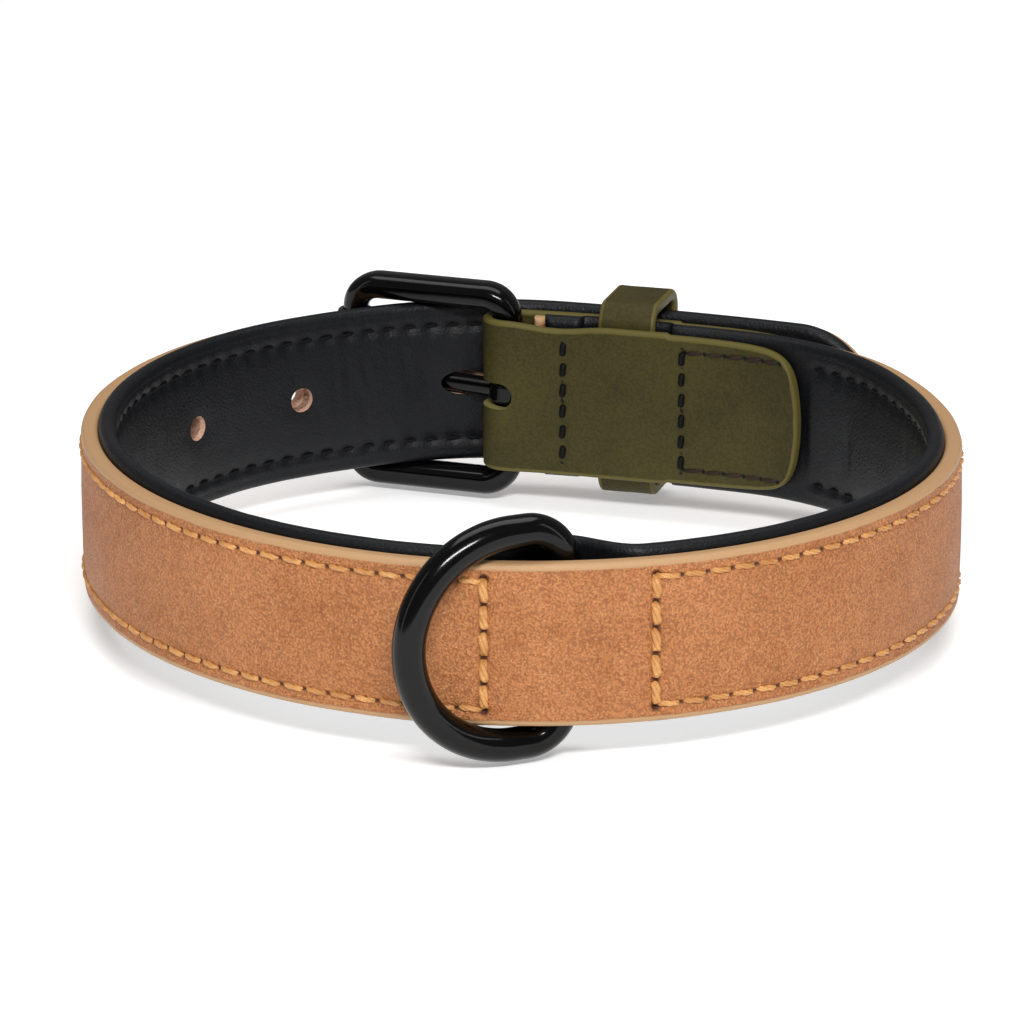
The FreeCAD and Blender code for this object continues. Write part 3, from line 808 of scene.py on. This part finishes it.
def crease_panel(layer, sewn, low, high, rng):
    """Fine random creases across a padded panel, as the lining gets from being worn round a neck."""
    for at in rng.uniform(low + 4, high - 4, int((high - low) / 7)):
        tilt, depth, reach = rng.uniform(-0.35, 0.35), rng.uniform(0.05, 0.17), rng.uniform(0.5, 1.1)
        mid, span = rng.uniform(-4, 4), rng.uniform(3, 6)
        crease = np.exp(-((layer.s - at - tilt * layer.z) / reach) ** 2 - ((layer.z - mid) / span) ** 2)
        layer.press(depth * sewn * crease)


def make_lining():
    layer = Layer(LINING_BEGIN, LINING_END, -LINING_THICK, 0.0, LINING_WIDTH, LINING_EDGE_R, "inner",
                  noses=(None, LINING_WIDTH / 2))
    rng = np.random.default_rng(5)
    for low, high in PANELS.values():
        sewn = between(layer.s, low, high, 0.8)
        holes = spaced(low, high)
        gather = 0.5 + 0.5 * np.cos(2 * math.pi * (layer.s - low) / (holes[1] - holes[0]))
        for height in (SEAM_HEIGHT, -SEAM_HEIGHT):
            layer.press((GATHER_SINK - GATHER_SWING * gather) * sewn * near_line(layer.z, height, 1.2))
            layer.press(PUFF * (0.5 - gather) * sewn * near_line(layer.z, height, PUFF_REACH))
        layer.press(-PADDING_SWELL * sewn * panel_bow(layer.z) ** 0.8)
        outside = np.clip((np.abs(layer.z) - SEAM_HEIGHT) / RIM_REACH, 0, 1)
        layer.press(-RIM_SWELL * sewn * np.sin(outside * math.pi) * (1.2 - 0.4 * gather))
        crease_panel(layer, sewn, low, high, rng)
    layer.press(KEEPER_PRESS * between(layer.s, KEEPER_AT - 8.0, KEEPER_AT + 8.0, 0.5))
    press_holes(layer, 0.45, 10.0)
    layer.press(0.1 * ripple(layer.s, layer.z, 23))

    def pinched(s, off, z):
        """The ring's lower leg presses the lining's bottom edge up a little."""
        lift = PINCH_LIFT * dome(s, RING_AT, PINCH_REACH) * smooth_step(-z, 9.0, 14.0)
        return along_strap(s, off, z + lift)

    made = pierced(layer.build("padded_lining", black_lining_hide, pinched, lining_swell(layer.s)))
    return made


FOAM_TO_CHAPE, FOAM_TO_ROW = 3, 2
LINING_SKIN = 0.9         # the lining leather alone, inward of the foam
FOAM_CLEAR = 0.05


def make_foam(name, low, high):
    layer = Layer(low, high, LINING_SKIN - LINING_THICK + FOAM_CLEAR, -FOAM_CLEAR, FOAM_WIDTH, 0.5, "inner")
    layer.press(-0.02 + 0.05 * ripple(layer.s, layer.z, 31))
    made = pierced(layer.build(name, foam_grey))
    return made


FOLD_R = LINING_THICK + CHAPE_THICK / 2
FOLD_START = CHAPE_END - HEEL_AT
FOLD_END = FOLD_START + math.pi * FOLD_R


CHAPE_EDGE_R = 0.62
CHAPE_CORNER = 3.6                       # how square its end corners are: 2 would be round
CHAPE_ROW_OVERRUN = 0.6
CHAPE_ROW_SINK, CHAPE_SEAM_SINK = 0.22, 0.14
CHAPE_SEAM_BEGIN = CHAPE_ROWS[1] + 0.4
WAIST, WAIST_AT, WAIST_REACH = 0.8, 13.0, 10.0
EYE_POCKET_R = 3.78                      # room for the prong's eye inside the fold


def chape_lift(s):
    """How far the chape's inward leaf stands off the lining: over the keeper, and at its free end."""
    return 0.3 * dome(s, KEEPER_AT, 12.0) + 0.55 * smooth_step(s, CHAPE_END - 8.0, CHAPE_END + 1.0)


def fold_point(u, off, z):
    """A point of the chape: u from the inward leaf's end, round the heel bar, to the outward leaf's end."""
    u, off, z = np.broadcast_arrays(u, off, z)
    half = CHAPE_WIDTH / 2
    z = z - WAIST * dome(CHAPE_END - u, WAIST_AT, WAIST_REACH) * smooth_step(z, 0.3 * half, half)
    angle = np.clip((u - FOLD_START) / FOLD_R, 0, math.pi)
    reach = LINING_THICK + off
    c, s = math.cos(heel_heading), math.sin(heel_heading)
    out, back = -np.cos(angle) * reach, -np.sin(angle) * reach
    fold = np.stack([heel_seat.x - s * out + c * back, heel_seat.y + c * out + s * back, z + MIDDLE],
                    axis=-1) * MM
    along = np.where(u < FOLD_START, CHAPE_END - u, HEEL_AT + u - FOLD_END)
    leaf = along_strap(along, np.where(u < FOLD_START, -reach - chape_lift(along), reach), z)
    bent = ((u >= FOLD_START) & (u <= FOLD_END))[..., None]
    return np.where(bent, fold, leaf)


def make_chape():
    layer = Layer(0.0, FOLD_END + CHAPE_END - HEEL_AT, 0.0, CHAPE_THICK, CHAPE_WIDTH, CHAPE_EDGE_R,
                  "outer", noses=(CHAPE_NOSE_R, CHAPE_NOSE_R), corner=CHAPE_CORNER)
    s = CHAPE_END - layer.s
    for at in CHAPE_ROWS:
        held = between(layer.z, -CHAPE_SEAM_HEIGHT, CHAPE_SEAM_HEIGHT, 1.0)
        layer.press(CHAPE_ROW_SINK * held * near_line(s, at, 1.0))
        marks = spaced(-CHAPE_SEAM_HEIGHT - CHAPE_ROW_OVERRUN, CHAPE_SEAM_HEIGHT + CHAPE_ROW_OVERRUN)
        layer.needle_marks([(CHAPE_END - at, z) for z in marks], 0.12, 0.3)
    low, high = CHAPE_SEAM_BEGIN, CHAPE_SEAM_END
    for height in (CHAPE_SEAM_HEIGHT, -CHAPE_SEAM_HEIGHT):
        layer.press(CHAPE_SEAM_SINK * between(s, low, high, 0.6) * near_line(layer.z, height, 0.8))
        layer.needle_marks([(CHAPE_END - at, height) for at in spaced(low, high)], 0.28, 0.45)
    layer.press(0.09 * ripple(layer.s, layer.z, 41))
    made = layer.build("olive_chape", olive_bridle, place=fold_point)
    # the slot for the prong: straight sides, a round end toward the strap
    half, end = SLOT_HEIGHT / 2, SLOT_RIGHT - SLOT_HEIGHT / 2
    turn = np.linspace(-math.pi / 2, math.pi / 2, 24)
    outline = [(end + half * math.cos(a), half * math.sin(a)) for a in turn]
    outline += [(-SLOT_LEFT - 2, half), (-SLOT_LEFT - 2, -half)]
    c, s = math.cos(heel_heading), math.sin(heel_heading)
    grid = np.array([[((heel_seat.x + c * x - s * y) * MM, (heel_seat.y + s * x + c * y) * MM,
                       (MIDDLE + z) * MM) for x, z in outline] for y in (-8.0, 8.0)])
    carved(made, piece("slot", *skin(grid), olive_edge), "DIFFERENCE")
    ball = np.array([[math.sin(a), math.cos(a)] for a in np.linspace(0, 2 * math.pi, 48, endpoint=False)])
    pocket = np.array([[((heel_seat.x + EYE_POCKET_R * x) * MM, (heel_seat.y + EYE_POCKET_R * y) * MM,
                         (MIDDLE + z) * MM) for x, y in ball] for z in (-half, half)])
    carved(made, piece("pocket", *skin(pocket), olive_edge), "DIFFERENCE")
    return made


KEEPER_NEAR_R, KEEPER_FAR_R = 2.0, 1.9     # the loop's inside corners
KEEPER_EDGE_R = 0.65


def make_keeper():
    """The loop's band follows a rounded box round strap and tail; its near run is pared thin."""
    near, far = -KEEPER_INNER_FACE, KEEPER_REACH
    half = KEEPER_OPENING / 2
    inside = rounded_path([(near, -half, KEEPER_NEAR_R), (far, -half, KEEPER_FAR_R),
                           (far, half, KEEPER_FAR_R), (near, half, KEEPER_NEAR_R)])
    ahead = np.roll(inside, -1, axis=0) - np.roll(inside, 1, axis=0)
    ahead /= np.linalg.norm(ahead, axis=1)[:, None]
    out = np.stack([ahead[:, 2], np.zeros(len(inside)), -ahead[:, 0]], axis=1)
    pared = smooth_step(inside[:, 0], near + 0.05, near + 2.2)
    thick = KEEPER_SKIVED + (KEEPER_THICK - KEEPER_SKIVED) * pared
    soft = EDGE_STEPS * KEEPER_EDGE_R
    across = np.concatenate([soft, np.linspace(1.0, KEEPER_LENGTH - 1.0, 17), (KEEPER_LENGTH - soft)[::-1]])
    edge = np.minimum(across, KEEPER_LENGTH - across)
    short = KEEPER_EDGE_R - np.minimum(edge, KEEPER_EDGE_R)
    round_off = KEEPER_EDGE_R - np.sqrt(KEEPER_EDGE_R ** 2 - short ** 2)
    fall = np.minimum(round_off[None], thick[:, None] / 2 - LEAST_WALL)
    wear = 0.05 * ripple(across[None] * 2.0 + 60, np.arange(len(inside))[:, None] * 0.3, 53)
    outer = inside[:, None] + out[:, None] * (thick[:, None] - fall + wear)[..., None]
    inner = inside[:, None] + out[:, None] * fall[..., None]
    slide = (across - KEEPER_LENGTH / 2)[None, :, None] * np.array([0.0, 1.0, 0.0])
    grid = np.concatenate([outer + slide, (inner + slide)[:, ::-1]], axis=1)
    # made with the strap's outward direction along X: stand it on the strap
    turned = np.stack([grid[..., 1], grid[..., 0], grid[..., 2]], axis=-1)
    made = piece("olive_keeper", *skin(stood(turned, keeper_seat, keeper_heading), loop=True), olive_bridle)
    edges = np.broadcast_to(edge, outer.shape[:2])
    mark(made, "edge", np.concatenate([edges, edges[:, ::-1]], axis=1))
    return made


# ---------------------------------------------------------------- metal pieces

def make_ring():
    half = RING_HEIGHT / 2
    bow = np.linspace(-math.pi / 2, math.pi / 2, 90)
    bend = np.linspace(math.pi, 1.5 * math.pi, 26)
    r = RING_CORNER_R
    lower = [(r + r * math.cos(a), r - half + r * math.sin(a)) for a in bend]
    round_bow = [(RING_REACH - half + half * math.cos(a), half * math.sin(a)) for a in bow]
    upper = [(x, -z) for x, z in lower[::-1]]
    bar = [(0.0, z) for z in np.linspace(half - r, r - half, 24)[1:-1]]
    path = np.array([(x, 0.0, z) for x, z in lower + round_bow + upper + bar])
    grid = tube(path, RING_WIRE_R, True, sides=48)
    grid[..., 2] += RING_RISE
    return piece("lead_ring", *skin(stood(grid, ring_bar, ring_heading), loop=True), black_enamel)


BAR_SWELL, BAR_FLAT, BAR_SQUARE = 0.15, 0.28, 0.5    # the long bars are heavier, deeper and squarer


def make_frame():
    half, r, far = FRAME_HEIGHT / 2, FRAME_CORNER_R, FRAME_REACH
    path = rounded_path([(0, half, r), (0, -half, r), (far, -half, r), (far, half, r)])
    heavy = smooth_step(np.abs(path[:, 2]), half - 1.2 * r, half)
    grid = tube(path, FRAME_WIRE_R + BAR_SWELL * heavy, True, sides=56, flat=1 + BAR_FLAT * heavy,
                square=2 + BAR_SQUARE * heavy)
    return piece("enamelled_frame", *skin(stood(grid, heel_bar, frame_heading), loop=True), black_enamel)


def lathed(name, profile, centre, heading, finish, sides=64):
    """A ring turned from a closed (radius, height) outline."""
    turn = np.linspace(0, 2 * math.pi, sides, endpoint=False)[:, None]
    r, z = np.array(profile)[None, :, 0], np.array(profile)[None, :, 1]
    grid = np.stack([r * np.cos(turn), r * np.sin(turn), z + 0 * turn], axis=-1)
    return piece(name, *skin(stood(grid, centre, heading), loop=True), finish)


BORE_BEVEL = 0.15


def band_profile(bore, outside, length, soft):
    """The outline of a tube's wall with rounded outer corners and a bevelled bore."""
    turn = np.linspace(0, math.pi / 2, 8)
    top = [(outside - soft + soft * math.sin(a), length / 2 - soft + soft * math.cos(a)) for a in turn]
    side = [(outside, z) for z in np.linspace(length / 2 - soft, soft - length / 2, 14)[1:-1]]
    bottom = [(r, -z) for r, z in top[::-1]]
    end = length / 2
    return [(bore, end - BORE_BEVEL), (bore + BORE_BEVEL, end)] + top + side + bottom \
        + [(bore + BORE_BEVEL, -end), (bore, BORE_BEVEL - end)]


def make_roller():
    profile = band_profile(FRAME_WIRE_R + RUNNING_FIT, ROLLER_R, ROLLER_LENGTH, 0.6)
    return lathed("enamelled_roller", profile, far_bar, frame_heading, black_enamel)


SHANK_BEGIN = 2.6          # inside the wall of the eye
PRONG_TAPER = 0.12
BLUNT_END = 0.035          # of the prong's length, rounded off at its tip


def make_prong():
    straight = math.sqrt(FRAME_REACH ** 2 - prong_seat ** 2)
    hook = math.radians(PRONG_HOOK)
    shank = [(x, 0.0) for x in np.linspace(SHANK_BEGIN, straight, 60)]
    curl = [(straight + prong_seat * math.sin(a), prong_seat * (math.cos(a) - 1))
            for a in np.linspace(0, hook, 16)[1:]]
    path = np.array([(x, 0.0, y) for x, y in shank + curl])
    taper = 1 - PRONG_TAPER * smooth_step(path[:, 0], 8.0, straight)
    tip = np.linspace(1, 0, len(path))
    blunt = np.sqrt(np.clip(1 - (1 - np.clip(tip / BLUNT_END, 0, 1)) ** 2, 0.02, 1))
    grid = tube(path, PRONG_THICK / 2 * taper * blunt, False, sides=28, flat=PRONG_WIDTH / PRONG_THICK)
    # made in the XZ plane: lay it in the XY plane, curling toward the roller
    laid = np.stack([grid[..., 0], grid[..., 2], grid[..., 1]], axis=-1)
    made = piece("enamelled_prong", *skin(stood(laid, heel_bar, prong_heading)), black_enamel)
    profile = band_profile(FRAME_WIRE_R + RUNNING_FIT, PRONG_EYE_R, PRONG_WIDTH, 0.55)
    carved(made, lathed("eye", profile, heel_bar, prong_heading, black_enamel), "UNION")
    return made


# ---------------------------------------------------------------- the collar put together

def placed(obj, body, slot, *nodes):
    """Rides a piece on its body and hides the model parts that it stands for; the slot, what it is made of, is
    not used.
    """
    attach(obj, body)
    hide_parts(*nodes)


placed(make_outer_strap(), "strap", "tan_leather", "outer_strap")
placed(make_lining(), "strap", "black_lining_leather", "lining")
placed(make_foam("right_foam", CHAPE_END + FOAM_TO_CHAPE, RIGHT_ROW - FOAM_TO_ROW),
       "strap", "foam", "right_foam_pad")
placed(make_foam("left_foam", LEFT_ROW + FOAM_TO_ROW, TIP_CENTRE), "strap", "foam", "left_foam_pad")
placed(make_chape(), "strap", "olive_leather", "chape")
placed(make_keeper(), "keeper", "olive_leather", "keeper_loop")
placed(make_ring(), "ring", "black_enamelled_metal", "d_ring")
placed(make_frame(), "frame", "black_enamelled_metal", "buckle_frame")
placed(make_roller(), "roller", "black_enamelled_metal", "buckle_roller")
placed(make_prong(), "prong", "black_enamelled_metal", "buckle_prong")

# Each kind of seam: the thread's centre off the strap line, which way is out, its radius and stitch length.
GOLD_SEAM = dict(face=lambda s: STRAP_THICK - 0.1, sign=1, radius=0.46, length=3.7)
GOLD_ROW = dict(face=lambda s: STRAP_THICK - 0.05, sign=1, radius=0.7, length=3.9)
LINING_SEAM = dict(face=lambda s: 0.45 - LINING_THICK, sign=-1, radius=0.38, length=3.3)
CHAPE_ROW = dict(face=lambda s: CHAPE_FACE + 0.12 - chape_lift(s), sign=-1, radius=0.58, length=2.8, plies=1)
CHAPE_SEAM = dict(face=lambda s: CHAPE_FACE + 0.2 - chape_lift(s), sign=-1, radius=0.4, length=3.3, plies=1)
EDGES = (("top", 1), ("bottom", -1))

for side, (low, high) in PANELS.items():
    for edge, up in EDGES:
        gold = long_seam(f"{side}_gold_stitches_{edge}", gold_thread, low, high, up * SEAM_HEIGHT, **GOLD_SEAM)
        placed(gold, "strap", "gold_thread", f"{side}_strap_seam_{edge}")
        black = long_seam(f"{side}_black_stitches_{edge}", black_thread, low, high, up * SEAM_HEIGHT,
                          **LINING_SEAM)
        placed(black, "strap", "black_thread", f"{side}_lining_seam_{edge}")
for side, at in (("right", RIGHT_ROW), ("left", LEFT_ROW)):
    row = cross_seam(f"{side}_ring_stitches", gold_thread, at, SEAM_HEIGHT + ROW_OVERRUN, **GOLD_ROW)
    placed(row, "strap", "gold_thread", f"{side}_ring_seam")
for where, at in zip(("heel", "rear"), CHAPE_ROWS):
    row = cross_seam(f"{where}_chape_stitches", black_thread, at, CHAPE_SEAM_HEIGHT + CHAPE_ROW_OVERRUN,
                     **CHAPE_ROW)
    placed(row, "strap", "black_thread", f"chape_{where}_row")
for edge, up in EDGES:
    brown = long_seam(f"brown_chape_stitches_{edge}", brown_thread, CHAPE_SEAM_BEGIN, CHAPE_SEAM_END,
                      up * CHAPE_SEAM_HEIGHT, **CHAPE_SEAM)
    placed(brown, "strap", "brown_thread", f"chape_seam_{edge}")


# ---------------------------------------------------------------- the studio

FOCAL = 218.0
SENSOR = 36.0
CLIP_END = 20.0            # metres
CAMERA_DISTANCE = 1000.0
CAMERA_HEIGHT_ANGLE = 18.0
AIM = Vector((-1.30, -3.50, 19.05))


FLOOR_SIZE = 8.0           # metres
FLOOR_DROP = 0.0004        # metres below the collar's lowest edge
FLOOR_GLOW = 0.3           # keeps the paper white under the collar
WORLD_LIGHT = 0.2

# Each softbox: its place, width and height in metres, and its power in watts.
SOFTBOXES = {
    "key softbox": ((0.06, -0.85, 0.72), 0.5, 0.11, 11.0),         # a long light above the camera
    "overhead softbox": ((0.0, 0.15, 0.9), 0.9, 0.5, 4.0),
    "left strip": ((-0.85, -0.4, 0.35), 0.07, 0.8, 0.5),
    "right strip": ((0.85, -0.3, 0.35), 0.07, 0.8, 0.6),
}
LIT_POINT = Vector((0, 0, 0.02))


def make_floor():
    # Matt white paper, with a trace of unevenness.
    bpy.ops.mesh.primitive_grid_add(x_subdivisions=8, y_subdivisions=8, size=FLOOR_SIZE,
                                    location=(0, 0, -FLOOR_DROP))
    floor = bpy.context.object
    floor.name = "studio_floor"
    made, tree, shader, where = started("matt white paper")
    tree.links.new(blended(tree, clouds(tree, where, 30.0), "F4F4F4", "F8F8F8"), shader.inputs["Base Color"])
    shader.inputs["Roughness"].default_value = 0.9
    shader.inputs["Specular IOR Level"].default_value = 0.2
    shader.inputs["Emission Color"].default_value = linear("FFFFFF")
    shader.inputs["Emission Strength"].default_value = FLOOR_GLOW
    floor.data.materials.append(made)


def make_softbox(name, place, width, height, power):
    lamp = bpy.data.lights.new(name, "AREA")
    lamp.shape, lamp.size, lamp.size_y, lamp.energy = "RECTANGLE", width, height, power
    holder = bpy.data.objects.new(name, lamp)
    holder.location = place
    holder.rotation_euler = (LIT_POINT - Vector(place)).to_track_quat("-Z", "Y").to_euler()
    bpy.context.scene.collection.objects.link(holder)


def make_camera():
    lens = bpy.data.cameras.new("camera")
    lens.lens, lens.sensor_width = FOCAL, SENSOR
    lens.clip_end = CLIP_END
    holder = bpy.data.objects.new("camera", lens)
    tilt = math.radians(CAMERA_HEIGHT_ANGLE)
    back = Vector((0, -math.cos(tilt), math.sin(tilt))) * CAMERA_DISTANCE
    holder.location = (AIM + back) * MM
    holder.rotation_euler = (-back).to_track_quat("-Z", "Y").to_euler()
    bpy.context.scene.collection.objects.link(holder)
    bpy.context.scene.camera = holder


make_floor()
make_camera()
for name, settings in SOFTBOXES.items():
    make_softbox(name, *settings)
world = bpy.data.worlds.new("studio")
world.use_nodes = True
world.node_tree.nodes["Background"].inputs["Color"].default_value = linear("FFFFFF")
world.node_tree.nodes["Background"].inputs["Strength"].default_value = WORLD_LIGHT
bpy.context.scene.world = world
bpy.context.scene.view_settings.view_transform = "Standard"
